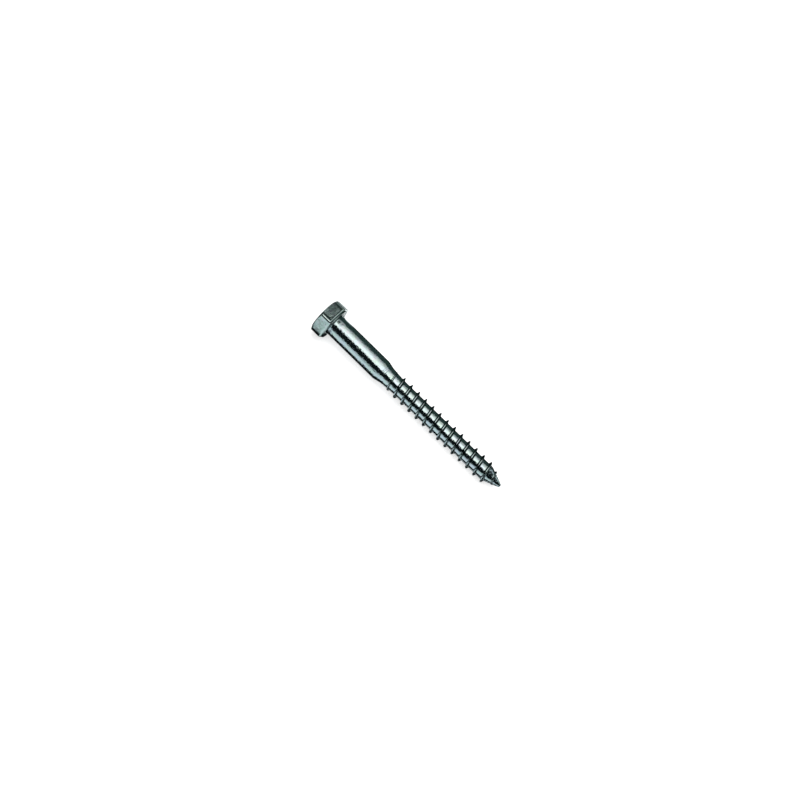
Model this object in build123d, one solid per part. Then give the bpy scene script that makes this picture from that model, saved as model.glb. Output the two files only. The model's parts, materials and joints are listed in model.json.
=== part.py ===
from build123d import *
from math import atan2, ceil, cos, degrees, radians, sqrt, tan
import os

# Hexagon-head lag screw, 6 x 60: a wood screw headed, rolled and pointed from one length of steel wire.
# It is drawn about +Z with its bearing face at z = 0, the head below and the point above, and +X is the
# side that it comes to lie on. It is then laid down on the floor at z = 0, with its point towards +X.

# Head
across_flats = 9.9
head_height = 3.9              # crown to bearing face, washer face included
corner_radius = 0.45           # upright corners of the hexagon, as cold heading leaves them
crown_flat_margin = 0.5        # flats in to the circle that the crown chamfer leaves
crown_chamfer_angle = 30.0     # between the chamfer and the crown
washer_face_margin = 0.3       # flats in to the rim of the washer face
washer_face_height = 0.2
underhead_radius = 0.35        # fillet between the washer face and the shank

# Shank
screw_length = 60.0            # bearing face to tip
shank_diameter = 6.05
shank_length = 17.0            # bearing face to the start of the taper
taper_length = 2.2             # taper from the shank down to the neck
taper_radius = 2.4             # both bends of the taper
neck_diameter = 5.05

# Thread, right-hand, rolled with one start
pitch = 2.6
thread_diameter = 5.95
root_diameter = 4.45
flank_angle = 30.0             # between the two flanks of the ridge
crest_width = 0.24
runout_gap = 0.6               # plain neck between the taper and the run-out
runout_length = 3.4            # over which the ridge climbs out of the neck to its full height
ridge_footing = 0.12           # depth that the ridge is sunk into the core

# Gimlet point
point_length = 4.65
tip_diameter = 0.6
tip_radius = 0.22
ridge_end_gap = 0.45           # tip to where the ridge has sunk into the point
crest_phase = 0.77             # turns from the last full crest on the lower side to the point

# Worked out from the sizes above
corner_reach = across_flats / sqrt(3)
crown_flat_radius = across_flats / 2 - crown_flat_margin
washer_face_radius = across_flats / 2 - washer_face_margin
shank_radius = shank_diameter / 2
neck_radius = neck_diameter / 2
root_radius = root_diameter / 2
thread_radius = thread_diameter / 2
tip_end_radius = tip_diameter / 2
neck_start = shank_length + taper_length
runout_start = neck_start + runout_gap
runout_end = runout_start + runout_length
point_start = screw_length - point_length
rest_crest = point_start - crest_phase * pitch
point_slope = (root_radius - tip_end_radius) / point_length
rest_tilt = degrees(atan2((across_flats - thread_diameter) / 2, rest_crest))


def hexagon_head():
    """Hexagon with its crown chamfered all round and one flat towards the resting side."""
    chamfer_drop = (corner_reach - crown_flat_radius) * tan(radians(crown_chamfer_angle))
    outline = RegularPolygon(across_flats / 2, 6, major_radius=False, rotation=30)
    outline = fillet(outline.vertices(), corner_radius)
    prism = Pos(0, 0, -head_height) * extrude(outline, head_height - washer_face_height)
    section = Polyline(
        (0, -head_height),
        (crown_flat_radius, -head_height),
        (corner_reach, chamfer_drop - head_height),
        (corner_reach, 0),
        (0, 0),
        close=True,
    )
    chamfered_blank = revolve(make_face(Plane.XZ * section), Axis.Z)
    return prism & chamfered_blank


def core():
    """Washer face, shank, taper, neck, thread root and point, turned as one outline."""
    corners = [
        ((washer_face_radius, -washer_face_height), 0),
        ((washer_face_radius, 0), 0),
        ((shank_radius, 0), underhead_radius),
        ((shank_radius, shank_length), taper_radius),
        ((neck_radius, neck_start), taper_radius),
        ((root_radius, runout_end), 0),
        ((root_radius, point_start), 0),
        ((tip_end_radius, screw_length), tip_radius),
    ]
    points = [point for point, radius in corners]
    radii = [radius for point, radius in corners]
    outline = FilletPolyline(
        (0, -washer_face_height), *points, (0, screw_length), radius=radii
    )
    outline += Line((0, screw_length), (0, -washer_face_height))
    return revolve(make_face(Plane.XZ * outline), Axis.Z)


def azimuth_at(height):
    """Direction of the ridge at a height, in degrees round from the resting side."""
    return 360 * (height - rest_crest) / pitch


def ridge_section(height, foot_radius, crest_radius):
    """Corners of the ridge's section where it passes a height: foot, crest, crest, foot."""
    half_crest = crest_width / 2
    half_foot = half_crest + (crest_radius - foot_radius) * tan(radians(flank_angle / 2))
    return [
        (foot_radius, height - half_foot),
        (crest_radius, height - half_crest),
        (crest_radius, height + half_crest),
        (foot_radius, height + half_foot),
    ]


def ridge_edge(start, end, turns, azimuth):
    """One edge of the ridge: a helix on a cone or cylinder between two (radius, height) points."""
    start_radius, start_height = start
    end_radius, end_height = end
    rise = end_height - start_height
    slope = atan2(end_radius - start_radius, rise)
    edge = Helix(rise / turns / cos(slope), rise, start_radius, cone_angle=degrees(slope))
    return (Pos(0, 0, start_height) * Rot(0, 0, azimuth) * edge).edge()


def ridge_turn(start, end):
    """Four long faces of the ridge over one turn or less, between two stations."""
    turns = (end[0] - start[0]) / pitch
    edges = [
        ridge_edge(corner, far_corner, turns, azimuth_at(start[0]))
        for corner, far_corner in zip(ridge_section(*start), ridge_section(*end))
    ]
    return [
        Face.make_surface_from_curves(edge, following)
        for edge, following in zip(edges, edges[1:] + edges[:1])
    ]


def ridge_stretch(start, end):
    """Faces of the ridge between two stations, in equal lengths of at most one turn."""
    count = ceil((end[0] - start[0]) / pitch)
    steps = [
        tuple(a + (b - a) * step / count for a, b in zip(start, end)) for step in range(count + 1)
    ]
    return [face for pair in zip(steps, steps[1:]) for face in ridge_turn(*pair)]


def ridge_cap(station):
    """Flat end of the ridge, sunk in the core."""
    section = Polyline(*ridge_section(*station), close=True)
    return (Rot(0, 0, azimuth_at(station[0])) * make_face(Plane.XZ * section)).face()


def sunk_end(height, core_radius):
    """Station where the ridge ends, low enough to lie wholly inside the core."""
    return (height, core_radius - 2 * ridge_footing, core_radius - ridge_footing)


def ridge():
    """The whole thread ridge: run-out from the neck, full height, then down the point to nothing."""
    end_radius = tip_end_radius + ridge_end_gap * point_slope
    foot_radius = root_radius - ridge_footing
    stations = [
        sunk_end(runout_start, neck_radius),
        (runout_end, foot_radius, thread_radius),
        (point_start, foot_radius, thread_radius),
        sunk_end(screw_length - ridge_end_gap, end_radius),
    ]
    faces = [ridge_cap(stations[0]), ridge_cap(stations[-1])]
    for start, end in zip(stations, stations[1:]):
        faces += ridge_stretch(start, end)
    return Solid(Shell(faces))


def lay_down(screw):
    """Turns the screw onto its head's lower flat and its last full crest, over the origin."""
    lift = across_flats / 2 * cos(radians(rest_tilt))
    lying = Pos(0, 0, lift) * Rot(0, 90 + rest_tilt, 0) * screw
    return Pos(-lying.bounding_box().center().X, 0, 0) * lying


upright = hexagon_head() + core() + ridge()
lag_screw = lay_down(upright.solid())

os.makedirs("parts", exist_ok=True)
export_step(lag_screw, "parts/lag_screw.step")
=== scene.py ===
import json
from math import atan, atan2, cos, pi, radians, sin, sqrt, tan

import bpy
from mathutils import Matrix, Vector, noise


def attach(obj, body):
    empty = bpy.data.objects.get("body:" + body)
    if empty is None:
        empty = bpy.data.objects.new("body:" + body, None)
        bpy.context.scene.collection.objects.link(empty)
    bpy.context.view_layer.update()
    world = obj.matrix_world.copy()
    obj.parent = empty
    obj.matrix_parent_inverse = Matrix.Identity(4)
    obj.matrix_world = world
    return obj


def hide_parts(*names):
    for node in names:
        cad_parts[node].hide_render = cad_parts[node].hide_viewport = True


# A zinc-plated lag screw lies on a white floor under a soft overhead light. Blender's lengths are in
# metres. The screw's own sizes are in millimetres and in its own frame: along its axis from the bearing
# face towards the point, out from the axis, and round it from the side that it lies on.

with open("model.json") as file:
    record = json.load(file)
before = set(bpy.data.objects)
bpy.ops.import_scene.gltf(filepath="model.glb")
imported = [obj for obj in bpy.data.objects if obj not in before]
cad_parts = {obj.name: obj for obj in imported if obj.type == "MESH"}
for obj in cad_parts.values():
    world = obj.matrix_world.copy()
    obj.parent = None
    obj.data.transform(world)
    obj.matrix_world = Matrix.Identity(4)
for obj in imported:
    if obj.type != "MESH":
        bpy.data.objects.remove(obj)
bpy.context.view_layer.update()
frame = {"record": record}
MOUNTS = {mount["name"]: mount for mount in frame["record"]["mounts"]}
MM = 0.001

# ---- Where the screw lies ----
AXIS = Vector(MOUNTS["shank"]["axis"]).normalized()
SIDE = Vector((0, -1, 0))
UPWARD = SIDE.cross(AXIS)
BEARING = Vector(MOUNTS["bearing_face"]["pos_m"])
BEARING.y = 0

# ---- Head ----
ACROSS_FLATS = 9.9
HEAD_HEIGHT = 3.9
CORNER_RADIUS = 0.65
CROWN_RADIUS = ACROSS_FLATS / 2 - 0.5
CROWN_ANGLE = radians(30)
WASHER_RADIUS = ACROSS_FLATS / 2 - 0.3
WASHER_HEIGHT = 0.2
HEAD_EDGE = 0.14                   # rounding where the flats meet the chamfer
BEVEL_ALONG, BEVEL_DEPTH = 0.32, 0.28   # bevel where they meet the bearing side
BEVEL_ROUNDING = 0.5
WASHER_EDGE = 0.05
UNDERHEAD_RADIUS = 0.35

# ---- Shank and neck ----
SCREW_LENGTH = 60.0
SHANK_RADIUS = MOUNTS["shank"]["dims"]["r_mm"]
SHANK_LENGTH = 17.0
NECK_START = SHANK_LENGTH + 2.2
NECK_RADIUS = 2.525
TAPER_RADIUS = 2.4

# ---- Thread ----
PITCH = 2.6
THREAD_RADIUS = 2.975
ROOT_RADIUS = 2.225
FRONT_FLANK_LEAN = radians(20)     # flank towards the point, from square to the axis
BACK_FLANK_LEAN = radians(11)      # flank towards the head
CREST_HALF = 0.12
CREST_ROUNDING = 0.08
ROOT_ROUNDING = 0.4
RUNOUT_START = NECK_START + 0.6
RUNOUT_END = RUNOUT_START + 3.4
RIDGE_DEPTH = 0.12                 # how far below the core the ridge's crest starts and ends

# ---- Point ----
POINT_START = SCREW_LENGTH - 4.65
TIP_RADIUS = 0.42
TIP_ROUNDING = 0.3
RIDGE_END = SCREW_LENGTH - 0.45
REST_CREST = POINT_START - 0.745 * PITCH

# ---- How far the surface strays from these sizes, and how long its dents are ----
FORGED_DENT, FORGED_DENT_LENGTH = 0.014, 2.4
SMALL_DENT, SMALL_DENT_LENGTH = FORGED_DENT / 3, 0.8
DRAWN_DENT, DRAWN_DENT_LENGTHS = 0.005, (1.1, 0.5)
DRAWN_STRETCH = 0.35               # a dent's width on the shank, as a share of its length
ROLLED_DENT, ROLLED_DENT_LENGTH = 0.006, 1.0
CREST_DENT, CREST_DENT_LENGTH = 0.03, 1.6

# ---- How finely the surface is divided ----
COLUMNS_PER_FLAT, COLUMN_CROWDING = 20, 0.15
ROWS_PER_PITCH, ROW_CROWDING = 36, 0.35
CROWN_ROWS, CHAMFER_ROWS, FLAT_ROWS, WASHER_ROWS = 8, 4, 16, 6
SHANK_ROWS, TAPER_ROWS, STEP_ROWS = 64, 6, 2
ARC_STEPS = 5
ARC_SHARE = 0.8                    # most of an edge that one rounding takes
THREAD_START = RUNOUT_START - 0.25
THREAD_END = SCREW_LENGTH - 0.5
THREAD_MARGIN = 0.1                # kept free of helical rows at both ends of the thread

# ---- Camera: angles in the screw's frame, distances in metres ----
CAMERA_DISTANCE = 0.412
CAMERA_ROUND = radians(24.7)       # from straight above the screw round towards -Y
CAMERA_LEAN = radians(4.51)        # from square to the axis towards the point
CAMERA_ROLL = radians(44.42)       # the axis below the picture's horizontal
AIM_ALONG = 0.02598                # bearing face to the point looked at
AIM_ASIDE = 0.00215                # that point's distance from the axis, across the picture
FOCAL_LENGTH = 71.6                # on the default sensor, 36 mm wide

# ---- Light: places in metres ----
BOX_HEIGHT, BOX_LENGTH, BOX_WIDTH = 0.4, 0.4, 0.56
BOX_BACK = 0.01                    # the box is this far behind the screw
BOX_RADIANCE = 2.8
GLOW_FRONT, GLOW_BACK = -0.2, 0.37
GLOW_FADE = (0.0, 0.34)            # over which the box darkens towards the back
GLOW_WEAKEST = 0.22
WORLD_LIGHT = 0.3

# ---- Finish: lengths in millimetres ----
POLISH_REACH = 1.0                 # how far the smooth edges reach into the flats
BEARING_POLISH = 1.2               # how much faster they fade from the bearing side
CREST_SHADE_SHARE = 0.3               # share of the painted shade on the thread that the ridge's crest keeps, where its flanks have 1
TINT_PATCH, FORGED_TINT = 1.7, (0.6, 1.0)
STAIN_PATCH, STAIN_SPREAD = 0.9, (0.52, 0.75)
DULL_PATCH, DULL_SHARE = 0.6, 0.35
# how far the painted shade on the thread's flanks darkens the zinc
FLANK_SHADE_SHARE = 0.7
FINE_PATCH, FINE_DETAIL, FINE_ROUGHNESS = 0.3, 4.0, 0.6
STREAK_SQUASH = 0.12               # a streak's width as a share of its length
DRAWN_ROUGHNESS, FORGED_ROUGHNESS, POLISHED_ROUGHNESS = (0.10, 0.15), (0.15, 0.26), 0.08
FORGED_GRAIN, DRAWN_GRAIN = 0.025, 0.005     # depth of the relief that is only in the material
GRAIN_PATCH, GRAIN_WEIGHT, POLISHED_HEIGHT = 0.7, 1.5, 1.2
STREAK_PATCH, STREAK_WEIGHT = 0.8, 1.5
PIT_PATCH, PIT_WEIGHT = 0.6, 4
RING_PATCH, RING_WEIGHT, RING_FADE = 0.45, 9, 0.3
RING_START, RING_END = SHANK_LENGTH + 0.2, SHANK_LENGTH + 1.6

# ---- Colours ----
ZINC_BLUE = (0.31, 0.41, 0.46, 1)
ZINC_GREEN = (0.3, 0.42, 0.4, 1)
ZINC_VIOLET = (0.34, 0.37, 0.42, 1)
ZINC_DULL = (0.1, 0.15, 0.13, 1)
# painted shade on the thread's flanks
ZINC_FLANK_SHADE = (0.05, 0.075, 0.065, 1)
FLOOR_WHITE, FLOOR_GLOW = 0.8, 0.55
FLOOR_NEAR, FLOOR_FAR = 0.15, 0.5  # distances in metres over which the glow rises to full white
BOX_TINT = (1.0, 0.88, 0.83)
BLACK = (0.01, 0.013, 0.015)
DARK = (0.05, 0.08, 0.07)
GREY = (0.05, 0.065, 0.065)
PALE = (0.55, 0.6, 0.6)

# ---- Cards that the metal reflects: angles from the zenith, places in millimetres ----
CARD_CENTRE = 4.3                  # height from which the angles are taken
CARD_LIFT = 0.05                   # cards on the floor lie this far above it
FRONT_CARD_TOP, FRONT_CARD_FOOT = radians(20.5), radians(76)
FRONT_CARD_DISTANCE, FRONT_CARD_X = 60, (-90, 90)
BACK_CARD_PLACE, BACK_CARD_TOP, BACK_CARD_X = 16, radians(42), (-42, 36)
END_CARD_PLACE, END_CARD_Y = 105, (-75, 90)
HEAD_END_TOP, POINT_END_TOP = 85, 110
HEAD_CARD_START, SHANK_CARD_END, THREAD_CARD_END = -50, -8.5, 60
# black cards on the floor under and round the screw, seen only in the metal: painted shadow
UNDER_CARD_Y = (-10.4, -1.3)
ROOT_CARD_Y, CREST_CARD_Y = (-8.8, -3.1), (-2.4, -0.5)
REAR_CARD_X, REAR_CARD_Y = (-26, THREAD_CARD_END), (2, BACK_CARD_PLACE)
GAP_CARD_X, GAP_CARD_Y = (-28.2, -26), (2, 6)
CROWN_CARD_X, CROWN_CARD_Y = (HEAD_CARD_START, -33), (-1.3, BACK_CARD_PLACE)
HEAD_FLAG_X, HEAD_FLAG_Y, HEAD_FLAG_HEIGHT = (-35, -27.6), (-0.2, 7.8), 18
LIP_CARD_X, LIP_CARD_Y, LIP_CARD_HEIGHT = (-34, -27.8), -7.5, 5.6
STRIP_CARD_X, STRIP_CARD_Y = (-36, -29.4), (6.5, 14)
RIM_CARD_X, RIM_CARD_Y = (-29.4, -28.4), (4, 14)
FLOOR_REACH = 1500


def place(along, radius, azimuth):
    """Point in the row's frame, from millimetres along the screw, millimetres out and radians round."""
    outward = -cos(azimuth) * UPWARD - sin(azimuth) * SIDE
    return BEARING + MM * (along * AXIS + radius * outward)


def grain(point, length, seed):
    """Smooth noise between -1 and 1 whose bumps are about this long, in the units of the point."""
    return noise.noise(point / length + Vector((seed, 3 * seed, 7 * seed)))


def crowded(count, crowding):
    """Places from -1 up to 1, whose spacing at the middle is this share of an even one."""
    steps = [2 * step / count - 1 for step in range(count)]
    return [crowding * step + (1 - crowding) * step**3 for step in steps]


def column_azimuths():
    """Azimuths of the mesh's columns, crowded towards the hexagon's corners."""
    flat = pi / 3
    offsets = [step * flat / 2 for step in crowded(COLUMNS_PER_FLAT, COLUMN_CROWDING)]
    return [flat * (corner + 0.5) + offset for corner in range(6) for offset in offsets]


def hexagon_reach(azimuth):
    """Distance from the axis to the hexagon, whose corners are rounded."""
    apothem = ACROSS_FLATS / 2
    from_corner = abs(azimuth % (pi / 3) - pi / 6)
    arc_centre = (apothem - CORNER_RADIUS) / cos(pi / 6)
    arc_half = pi / 6 - atan((apothem - CORNER_RADIUS) * tan(pi / 6) / apothem)
    if from_corner > arc_half:
        return apothem / cos(pi / 6 - from_corner)
    rise = sqrt(CORNER_RADIUS**2 - (arc_centre * sin(from_corner)) ** 2)
    return arc_centre * cos(from_corner) + rise


def outline(azimuth):
    """Corners of the turned and forged outline up to the neck: along, radius, rounding, rows after it."""
    reach = hexagon_reach(azimuth)
    chamfer = (reach - CROWN_RADIUS) * tan(CROWN_ANGLE)
    return [
        (-HEAD_HEIGHT, 0.0, 0.0, CROWN_ROWS),
        (-HEAD_HEIGHT, CROWN_RADIUS, HEAD_EDGE, CHAMFER_ROWS),
        (chamfer - HEAD_HEIGHT, reach, HEAD_EDGE, FLAT_ROWS),
        (-WASHER_HEIGHT - BEVEL_ALONG, reach, BEVEL_ROUNDING, STEP_ROWS),
        (-WASHER_HEIGHT, reach - BEVEL_DEPTH, WASHER_EDGE, STEP_ROWS),
        (-WASHER_HEIGHT, WASHER_RADIUS, WASHER_EDGE, STEP_ROWS),
        (0.0, WASHER_RADIUS, WASHER_EDGE, WASHER_ROWS),
        (0.0, SHANK_RADIUS, UNDERHEAD_RADIUS, SHANK_ROWS),
        (SHANK_LENGTH, SHANK_RADIUS, TAPER_RADIUS, TAPER_ROWS),
        (NECK_START, NECK_RADIUS, TAPER_RADIUS, 1),
        (THREAD_START, core_radius(THREAD_START), 0.0, 0),
    ]


def between(start, end, share):
    """Point at a share of the way from one (along, radius) point to another."""
    return (start[0] + (end[0] - start[0]) * share, start[1] + (end[1] - start[1]) * share)


def arc(before, corner, after, rounding):
    """Points of the round stretch that replaces a corner of the outline."""
    reach_in = sqrt((corner[0] - before[0]) ** 2 + (corner[1] - before[1]) ** 2)
    reach_out = sqrt((after[0] - corner[0]) ** 2 + (after[1] - corner[1]) ** 2)
    turn = atan2(after[1] - corner[1], after[0] - corner[0])
    turn -= atan2(corner[1] - before[1], corner[0] - before[0])
    cut = rounding * abs(tan(turn / 2))
    start = between(corner, before, min(cut / reach_in, ARC_SHARE))
    end = between(corner, after, min(cut / reach_out, ARC_SHARE))
    shares = [step / ARC_STEPS for step in range(ARC_STEPS + 1)]
    return [between(between(start, corner, s), between(corner, end, s), s) for s in shares]


def head_and_shank(azimuth):
    """Points of one column from the crown's centre to the start of the thread."""
    corners = outline(azimuth)
    points = [corners[0][:2]]
    for before, corner, after in zip(corners, corners[1:], corners[2:] + [None]):
        bend = arc(before, corner, after, corner[2]) if after else [corner[:2]]
        divisions = before[3]
        shares = [(1 - cos(pi * step / divisions)) / 2 for step in range(1, divisions)]
        points += [between(points[-1], bend[0], share) for share in shares] + bend
    return points


def ramp(along, places):
    """Straight-line reading between (along, value) places, level beyond both ends."""
    if along <= places[0][0]:
        return places[0][1]
    for (start, low), (end, high) in zip(places, places[1:]):
        if along <= end:
            return low + (high - low) * (along - start) / (end - start)
    return places[-1][1]


def core_radius(along):
    """Neck, thread root and point, without the ridge."""
    return ramp(along, [
        (NECK_START, NECK_RADIUS),
        (RUNOUT_END, ROOT_RADIUS),
        (POINT_START, ROOT_RADIUS),
        (SCREW_LENGTH, TIP_RADIUS),
    ])


def crest_radius(along):
    """The ridge's crest: run-out from the neck, full height, then down the point to nothing."""
    return ramp(along, [
        (RUNOUT_START, NECK_RADIUS - RIDGE_DEPTH),
        (RUNOUT_END, THREAD_RADIUS),
        (POINT_START, THREAD_RADIUS),
        (RIDGE_END, core_radius(RIDGE_END) - RIDGE_DEPTH),
    ])


def thread_radius(along, from_crest):
    """Surface of the thread at a distance along the axis from the middle of its crest."""
    core = core_radius(along)
    height = crest_radius(along) - core
    if height <= 0:
        return core
    rounding = min(ROOT_ROUNDING, 0.9 * height)
    lean = FRONT_FLANK_LEAN if from_crest > 0 else BACK_FLANK_LEAN
    foot = CREST_HALF + height * tan(lean)
    cut = rounding * tan((pi / 2 - lean) / 2)
    from_crest = abs(from_crest)
    if from_crest >= foot + cut:
        return core
    if from_crest > foot - cut * sin(lean):
        return core + rounding - sqrt(max(rounding**2 - (foot + cut - from_crest) ** 2, 0))
    past_crest = (from_crest - CREST_HALF) / tan(lean)
    drop = (past_crest + sqrt(past_crest**2 + CREST_ROUNDING**2)) / 2
    return core + height - drop


def thread(azimuth):
    """Points of one column over the thread, as (row, along, radius); a row is one helix."""
    points = []
    offsets = [step * PITCH / 2 for step in crowded(ROWS_PER_PITCH, ROW_CROWDING)]
    first_turn = int((THREAD_START - REST_CREST) / PITCH) - 2
    last_turn = int((THREAD_END - REST_CREST) / PITCH) + 2
    for turn in range(first_turn, last_turn):
        crest = REST_CREST + PITCH * (turn + azimuth / (2 * pi))
        for row, from_crest in enumerate(offsets):
            along = crest + from_crest
            if THREAD_START + THREAD_MARGIN < along < THREAD_END - THREAD_MARGIN:
                points.append((turn * ROWS_PER_PITCH + row, along, thread_radius(along, from_crest)))
    return points


def tip():
    """Points of one column beyond the thread, to the tip."""
    start = (THREAD_END, core_radius(THREAD_END))
    corner = (SCREW_LENGTH, TIP_RADIUS)
    end = (SCREW_LENGTH, 0.0)
    return [start] + arc(start, corner, end, TIP_ROUNDING)


def unevenness(along, azimuth, radius):
    """How far the forged head, the drawn shank and the rolled thread stray from their nominal radius."""
    spot = Vector((along, radius * cos(azimuth), radius * sin(azimuth)))
    drawn = Vector((spot.x * DRAWN_STRETCH, spot.y, spot.z))
    if along < 0:
        forged = FORGED_DENT * grain(spot, FORGED_DENT_LENGTH, 1)
        return forged + SMALL_DENT * grain(spot, SMALL_DENT_LENGTH, 2)
    if along < SHANK_LENGTH:
        return DRAWN_DENT * sum(grain(drawn, length, 3 + i) for i, length in enumerate(DRAWN_DENT_LENGTHS))
    height = (radius - core_radius(along)) / (THREAD_RADIUS - ROOT_RADIUS)
    rolled = ROLLED_DENT * grain(spot, ROLLED_DENT_LENGTH, 5)
    return rolled + CREST_DENT * max(height, 0) * grain(spot, CREST_DENT_LENGTH, 6)


def surface_point(along, radius, azimuth):
    """Point of the surface with its dents. The crown's flat face stays flat."""
    if radius > 0 and along > -HEAD_HEIGHT + HEAD_EDGE:
        radius += unevenness(along, azimuth, radius)
    return place(along, radius, azimuth)


def column(azimuth):
    """One column of the surface from crown to tip, as (key, along, radius); keys match across columns."""
    rows = [((0, row), *point) for row, point in enumerate(head_and_shank(azimuth))]
    rows += [((1, row), along, radius) for row, along, radius in thread(azimuth)]
    return rows + [((2, row), *point) for row, point in enumerate(tip())]


def stitch(left, right):
    """Faces between two neighbouring columns of (key, vertex), a quad where their next rows match."""
    faces = []
    while len(left) > 1 or len(right) > 1:
        step_left = len(left) > 1 and (len(right) == 1 or left[1][0] <= right[1][0])
        step_right = len(right) > 1 and (len(left) == 1 or right[1][0] <= left[1][0])
        corners = [left[0][1], right[0][1]]
        if step_right:
            corners.append(right[1][1])
        if step_left:
            corners.append(left[1][1])
        if len(set(corners)) > 2:
            faces.append(tuple(dict.fromkeys(corners)))
        left = left[step_left:]
        right = right[step_right:]
    return faces


def polish(along, azimuth, radius):
    """1 on the head's edges, which handling and plating have smoothed, falling to 0 on its flats."""
    from_corner = radius * sin(abs(azimuth % (pi / 3) - pi / 6))
    from_bearing = BEARING_POLISH * abs(along + WASHER_HEIGHT)
    nearest = min(from_corner, from_bearing) if radius > WASHER_RADIUS else 1
    return ramp(nearest, [(POLISH_REACH / 2, 1), (POLISH_REACH, 0)])


def flank(along, radius):
    """Share of the painted shade on the thread: 1 on the flanks of the ridge, less on its crest, falling to
    0 in the root.
    """
    if not THREAD_START < along < THREAD_END or crest_radius(along) <= core_radius(along):
        return 0
    height = (radius - core_radius(along)) / (crest_radius(along) - core_radius(along))
    return ramp(height, [(0.0, 0), (0.12, 1), (0.85, 1), (1.0, CREST_SHADE_SHARE)])


def keyed_columns():
    """Vertices, the (along, polish, flank) kept with each, and the (key, vertex) pairs down each column."""
    vertices = [place(-HEAD_HEIGHT, 0, 0), place(SCREW_LENGTH, 0, 0)]
    values = [(-HEAD_HEIGHT, 0, 0), (SCREW_LENGTH, 0, 0)]
    columns = []
    for azimuth in column_azimuths():
        keyed = []
        for key, along, radius in column(azimuth):
            if radius == 0:
                keyed.append((key, 0 if along < 0 else 1))
                continue
            keyed.append((key, len(vertices)))
            vertices.append(surface_point(along, radius, azimuth))
            values.append((along, polish(along, azimuth, radius), flank(along, radius)))
        columns.append(keyed)
    return vertices, values, columns


def surface():
    """The whole screw as one closed mesh. The last column joins the first one turn of the thread back."""
    vertices, values, columns = keyed_columns()
    seam = [((part, row - ROWS_PER_PITCH * (part == 1)), vertex) for (part, row), vertex in columns[0]]
    faces = []
    for left, right in zip(columns, columns[1:] + [seam]):
        faces += stitch(left, right)
    mesh = bpy.data.meshes.new("lag_screw_surface")
    mesh.from_pydata(vertices, [], faces)
    for name, numbers in zip(("along", "polish", "flank"), zip(*values)):
        mesh.attributes.new(name, "FLOAT", "POINT").data.foreach_set("value", numbers)
    mesh.shade_smooth()
    return mesh


# ---- Materials ----

def new_material(name):
    """A material and its node tree, which is empty."""
    material = bpy.data.materials.new(name)
    material.use_nodes = True
    tree = material.node_tree
    tree.nodes.clear()
    return material, tree


def add(tree, kind, inputs=None, **settings):
    """Adds a node. An input is a number or colour, or the output socket that feeds it."""
    node = tree.nodes.new("ShaderNode" + kind)
    for name, value in settings.items():
        setattr(node, name, value)
    for name, value in (inputs or {}).items():
        socket = node.inputs[name]
        if isinstance(value, bpy.types.NodeSocket):
            tree.links.new(value, socket)
        else:
            socket.default_value = value
    return node


def mottle(tree, coordinates, length, detail=3.0, rough=0.5, spread=(0.35, 0.65)):
    """Noise whose patches are about this many millimetres long, spread over 0 to 1."""
    inputs = {"Vector": coordinates, "Scale": 1 / length, "Detail": detail, "Roughness": rough}
    patches = add(tree, "TexNoise", inputs)
    limits = {"Value": patches.outputs["Fac"], "From Min": spread[0], "From Max": spread[1]}
    return add(tree, "MapRange", limits).outputs["Result"]


def mix_colours(tree, share, first, second):
    node = add(tree, "Mix", data_type="RGBA")
    for index, value in ((0, share), (6, first), (7, second)):
        if isinstance(value, bpy.types.NodeSocket):
            tree.links.new(value, node.inputs[index])
        else:
            node.inputs[index].default_value = value
    return node.outputs[2]


def between_values(tree, share, low, high):
    """Value that runs from low to high as the share runs from 0 to 1."""
    return add(tree, "MapRange", {"Value": share, "To Min": low, "To Max": high}).outputs["Result"]


def rise(tree, value, start, end):
    """0 to 1 as a value runs from start to end."""
    return add(tree, "MapRange", {"Value": value, "From Min": start, "From Max": end}).outputs["Result"]


def scaled(tree, value, factor):
    return add(tree, "Math", {0: value, 1: factor}, operation="MULTIPLY").outputs["Value"]


def sum_of(tree, first, second, factor):
    """first + factor * second"""
    node = add(tree, "Math", {0: second, 1: factor, 2: first}, operation="MULTIPLY_ADD")
    return node.outputs["Value"]


def attribute(tree, name):
    return add(tree, "Attribute", attribute_name=name).outputs["Fac"]


def stretched(tree, coordinates, factors):
    node = add(tree, "VectorMath", {0: coordinates, 1: factors}, operation="MULTIPLY")
    return node.outputs["Vector"]


def zinc_colour(tree, spot, forged):
    """Blue-green zinc with violet stains, dull patches on the head and painted shade on the ridge's flanks.
    """
    tint = mottle(tree, spot, TINT_PATCH)
    tint = between_values(tree, forged, tint, between_values(tree, tint, *FORGED_TINT))
    zinc = mix_colours(tree, tint, ZINC_BLUE, ZINC_GREEN)
    stain = mottle(tree, spot, STAIN_PATCH, spread=STAIN_SPREAD)
    zinc = mix_colours(tree, stain, zinc, ZINC_VIOLET)
    dull = scaled(tree, mottle(tree, spot, DULL_PATCH), forged)
    zinc = mix_colours(tree, scaled(tree, dull, DULL_SHARE), zinc, ZINC_DULL)
    # painted shade: the thread's flanks darkened, for the shade in the grooves between the ridges
    flank_shade = scaled(tree, attribute(tree, "flank"), FLANK_SHADE_SHARE)
    return mix_colours(tree, flank_shade, zinc, ZINC_FLANK_SHADE)


def zinc_roughness(tree, forged, polished, fine, streaks):
    """Bright on the drawn wire and on the head's edges, duller on its flats."""
    drawn = between_values(tree, streaks, *DRAWN_ROUGHNESS)
    flats = between_values(tree, fine, *FORGED_ROUGHNESS)
    head = between_values(tree, polished, flats, POLISHED_ROUGHNESS)
    return between_values(tree, forged, drawn, head)


def tool_rings(tree, along):
    """Rings that the tool leaves round the taper."""
    mask = sum_of(
        tree,
        rise(tree, along, RING_START, RING_START + RING_FADE),
        rise(tree, along, RING_END, RING_END + RING_FADE),
        -1,
    )
    round_the_axis = add(tree, "CombineXYZ", {"X": along}).outputs["Vector"]
    return scaled(tree, mottle(tree, round_the_axis, RING_PATCH), mask)


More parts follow.
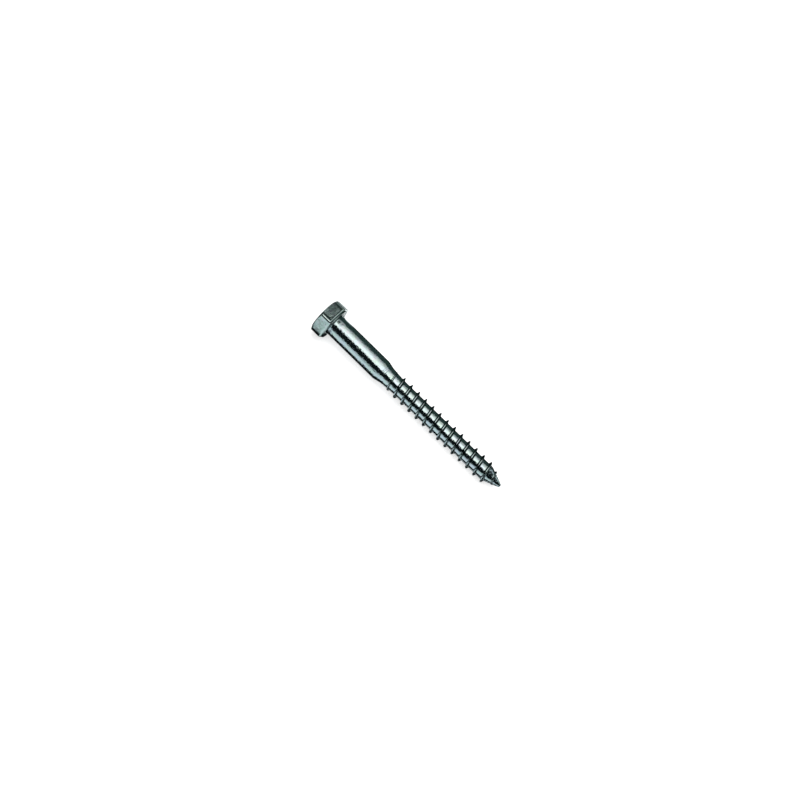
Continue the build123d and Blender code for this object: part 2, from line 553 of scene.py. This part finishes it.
def relief(tree, spot, drawn_spot, along, forged, polished, fine, streaks):
    """Height of the fine relief in millimetres: grain on the head, streaks, pits and rings on the rest."""
    grains = sum_of(tree, fine, mottle(tree, spot, GRAIN_PATCH), GRAIN_WEIGHT)
    grains = between_values(tree, polished, grains, POLISHED_HEIGHT)
    marks = sum_of(tree, streaks, mottle(tree, drawn_spot, STREAK_PATCH), STREAK_WEIGHT)
    marks = sum_of(tree, marks, mottle(tree, spot, PIT_PATCH), PIT_WEIGHT)
    marks = sum_of(tree, marks, tool_rings(tree, along), RING_WEIGHT)
    return between_values(
        tree, forged, scaled(tree, marks, DRAWN_GRAIN), scaled(tree, grains, FORGED_GRAIN)
    )


def zinc_plated_steel():
    """Bright zinc with a faint blue-green cast over a forged head, a drawn shank and a rolled thread."""
    material, tree = new_material("zinc_plated_steel")
    metres = add(tree, "TexCoord").outputs["Object"]
    spot = stretched(tree, metres, (1 / MM,) * 3)
    drawn_spot = stretched(tree, spot, (STREAK_SQUASH, 1, 1))
    along = attribute(tree, "along")
    forged = rise(tree, along, UNDERHEAD_RADIUS, -WASHER_EDGE)
    polished = attribute(tree, "polish")
    fine = mottle(tree, spot, FINE_PATCH, FINE_DETAIL, FINE_ROUGHNESS)
    streaks = mottle(tree, drawn_spot, FINE_PATCH, FINE_DETAIL, FINE_ROUGHNESS)
    height = relief(tree, spot, drawn_spot, along, forged, polished, fine, streaks)
    bump = add(tree, "Bump", {"Height": height, "Distance": MM})
    shader = add(tree, "BsdfPrincipled", {
        "Base Color": zinc_colour(tree, spot, forged),
        "Metallic": 1.0,
        "Roughness": zinc_roughness(tree, forged, polished, fine, streaks),
        "Normal": bump.outputs["Normal"],
    })
    add(tree, "OutputMaterial", {"Surface": shader.outputs["BSDF"]})
    return material


def rays_that_show_the_background(tree):
    """1 on rays from the camera and from glossy or transmitting surfaces, else 0."""
    path = add(tree, "LightPath")
    seen = path.outputs["Is Camera Ray"]
    for kind in ("Is Glossy Ray", "Is Transmission Ray"):
        seen = add(tree, "Math", {0: seen, 1: path.outputs[kind]}, operation="MAXIMUM").outputs["Value"]
    return seen


def finish_glow(material, tree, shader):
    """Connects a glowing shader, which is seen but is never sampled as a lamp."""
    add(tree, "OutputMaterial", {"Surface": shader})
    material.cycles.emission_sampling = "NONE"
    return material


def white_floor():
    """Matt white that glows a little where it is seen, so that only the deeper part of a shadow shows."""
    material, tree = new_material("floor")
    spot = add(tree, "TexCoord").outputs["Object"]
    distance = add(tree, "VectorMath", {0: spot}, operation="LENGTH").outputs["Value"]
    level = between_values(tree, rise(tree, distance, FLOOR_NEAR, FLOOR_FAR), FLOOR_GLOW, 1.0)
    lift = add(tree, "Emission", {"Strength": scaled(tree, rays_that_show_the_background(tree), level)})
    matt = add(tree, "BsdfDiffuse", {"Color": (FLOOR_WHITE,) * 3 + (1,)})
    both = add(tree, "AddShader", {0: matt.outputs["BSDF"], 1: lift.outputs["Emission"]})
    return finish_glow(material, tree, both.outputs["Shader"])


def glow(name, colour):
    """A card of one colour."""
    material, tree = new_material(name)
    shader = add(tree, "Emission", {"Color": (*colour, 1)})
    return finish_glow(material, tree, shader.outputs["Emission"])


def box_glow():
    """The overhead box as the metal reflects it, fading towards the back."""
    material, tree = new_material("box_glow")
    spot = add(tree, "TexCoord").outputs["Object"]
    back = add(tree, "SeparateXYZ", {"Vector": spot}).outputs["Y"]
    faded = rise(tree, back, *GLOW_FADE)
    strength = between_values(tree, faded, BOX_RADIANCE, BOX_RADIANCE * GLOW_WEAKEST)
    shader = add(tree, "Emission", {"Color": (*BOX_TINT, 1), "Strength": strength})
    return finish_glow(material, tree, shader.outputs["Emission"])


# ---- Studio ----

def add_object(name, mesh, material):
    """Puts a mesh of one material into the scene."""
    made = bpy.data.objects.new(name, mesh)
    mesh.materials.append(material)
    bpy.context.scene.collection.objects.link(made)
    return made


def add_sheet(name, corners, material):
    """A flat four-sided sheet that isn't part of the screw."""
    mesh = bpy.data.meshes.new(name)
    mesh.from_pydata([Vector(corner) * MM for corner in corners], [], [(0, 1, 2, 3)])
    sheet = add_object(name, mesh, material)
    return sheet


def add_card(name, corners, material):
    """A card that shows only as a reflection in the metal."""
    card = add_sheet(name, corners, material)
    card.visible_camera = False
    card.visible_diffuse = False
    card.visible_shadow = False
    card.visible_transmission = False
    card.visible_volume_scatter = False


def add_floor():
    corners = wall((-FLOOR_REACH, FLOOR_REACH), (-FLOOR_REACH, 0), (FLOOR_REACH, 0))
    add_sheet("floor", corners, white_floor())


def from_zenith(angle, distance, height):
    """(y, z) in millimetres at an angle from straight up towards -Y."""
    return -sin(angle) * distance, height + cos(angle) * distance


def wall(x_range, first, second):
    """Corners of a sheet along X between two (y, z) lines."""
    start, end = x_range
    return [(start, *first), (end, *first), (end, *second), (start, *second)]


def add_floor_card(name, x_range, y_range, material, height=CARD_LIFT):
    """A level card, on the floor unless its height is given."""
    front, back = y_range
    add_card(name, wall(x_range, (front, height), (back, height)), material)


def add_end_card(name, x, top, material):
    """An upright card across one end of the screw."""
    front, back = END_CARD_Y
    add_card(name, [(x, front, 0), (x, back, 0), (x, back, top), (x, front, top)], material)


def add_surrounding_cards(black):
    """The dark bands: in front, behind and past both ends."""
    high = from_zenith(FRONT_CARD_TOP, FRONT_CARD_DISTANCE, CARD_CENTRE)
    low = from_zenith(FRONT_CARD_FOOT, FRONT_CARD_DISTANCE, CARD_CENTRE)
    add_card("front_card", wall(FRONT_CARD_X, high, low), black)
    top = CARD_CENTRE + BACK_CARD_PLACE / tan(BACK_CARD_TOP)
    back_card = wall(BACK_CARD_X, (BACK_CARD_PLACE, 0), (BACK_CARD_PLACE, top))
    add_card("back_card", back_card, glow("dark_card", DARK))
    add_end_card("head_end_card", -END_CARD_PLACE, HEAD_END_TOP, black)
    add_end_card("point_end_card", END_CARD_PLACE, POINT_END_TOP, black)


def add_cards_below(black):
    """Black sheets on the floor under and round the screw, seen only in the metal: painted shadow, deeper
    than the floor's own, that gives the dark outlines along the lower edges of the shank, the thread and
    the head.
    """
    thread_x = (SHANK_CARD_END, THREAD_CARD_END)
    add_floor_card("under_card", (HEAD_CARD_START, SHANK_CARD_END), UNDER_CARD_Y, black)
    add_floor_card("root_card", thread_x, ROOT_CARD_Y, black)
    add_floor_card("crest_card", thread_x, CREST_CARD_Y, black)
    add_floor_card("rear_under_card", REAR_CARD_X, REAR_CARD_Y, black)
    add_floor_card("gap_card", GAP_CARD_X, GAP_CARD_Y, black)
    add_floor_card("crown_card", CROWN_CARD_X, CROWN_CARD_Y, black)


def add_head_cards(black):
    """The grey upper flat of the head, its black lower band and the pale strip along its far edge."""
    add_floor_card("head_flag", HEAD_FLAG_X, HEAD_FLAG_Y, glow("grey_card", GREY), HEAD_FLAG_HEIGHT)
    lip = wall(LIP_CARD_X, (LIP_CARD_Y, CARD_LIFT), (LIP_CARD_Y, LIP_CARD_HEIGHT))
    add_card("lip_card", lip, black)
    add_floor_card("strip_card", STRIP_CARD_X, STRIP_CARD_Y, glow("pale_card", PALE))
    add_floor_card("rim_card", RIM_CARD_X, RIM_CARD_Y, black)


def add_cards():
    """Cards that give the bands of reflection in the metal their edges, and the box that lights it."""
    black = glow("black_card", BLACK)
    add_surrounding_cards(black)
    add_cards_below(black)
    add_head_cards(black)
    half_length = BOX_LENGTH / MM / 2
    box_y = (GLOW_FRONT / MM, GLOW_BACK / MM)
    add_floor_card("box_card", (-half_length, half_length), box_y, box_glow(), BOX_HEIGHT / MM)


def add_overhead_light():
    """The box as it lights the floor. The metal reflects box_card in its place."""
    light = bpy.data.lights.new("overhead", "AREA")
    light.shape = "RECTANGLE"
    light.size, light.size_y = BOX_LENGTH, BOX_WIDTH
    light.energy = BOX_RADIANCE * pi * BOX_LENGTH * BOX_WIDTH
    lamp = bpy.data.objects.new("overhead", light)
    lamp.location = (0, BOX_BACK, BOX_HEIGHT)
    lamp.visible_camera = False
    lamp.visible_glossy = False
    bpy.context.scene.collection.objects.link(lamp)


def add_world():
    """White where the camera or a reflection sees it, and dim as a light."""
    world = bpy.data.worlds.new("world")
    world.use_nodes = True
    tree = world.node_tree
    tree.nodes.clear()
    seen = rays_that_show_the_background(tree)
    strength = between_values(tree, seen, WORLD_LIGHT, 1.0)
    background = add(tree, "Background", {"Color": (1, 1, 1, 1), "Strength": strength})
    add(tree, "OutputWorld", {"Surface": background.outputs["Background"]})
    bpy.context.scene.world = world


def add_camera():
    """Looks down on the screw, rolled so that it runs from upper left to lower right."""
    facing = cos(CAMERA_ROUND) * UPWARD + sin(CAMERA_ROUND) * SIDE
    across = AXIS.cross(facing)
    target = BEARING + AIM_ALONG * AXIS + AIM_ASIDE * across
    back = sin(CAMERA_LEAN) * AXIS + cos(CAMERA_LEAN) * facing
    along = cos(CAMERA_LEAN) * AXIS - sin(CAMERA_LEAN) * facing
    right = cos(CAMERA_ROLL) * along - sin(CAMERA_ROLL) * across
    up = -sin(CAMERA_ROLL) * along - cos(CAMERA_ROLL) * across
    lens = bpy.data.cameras.new("camera")
    lens.lens = FOCAL_LENGTH
    camera = bpy.data.objects.new("camera", lens)
    turn = Matrix((right, up, back)).transposed().to_4x4()
    camera.matrix_world = Matrix.Translation(target + CAMERA_DISTANCE * back) @ turn
    bpy.context.scene.collection.objects.link(camera)
    bpy.context.scene.camera = camera


def main():
    screw = add_object("lag_screw_surface", surface(), zinc_plated_steel())
    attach(screw, "root")
    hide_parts("lag_screw")
    add_floor()
    add_cards()
    add_overhead_light()
    add_world()
    add_camera()
    bpy.context.scene.view_settings.view_transform = "Standard"


main()
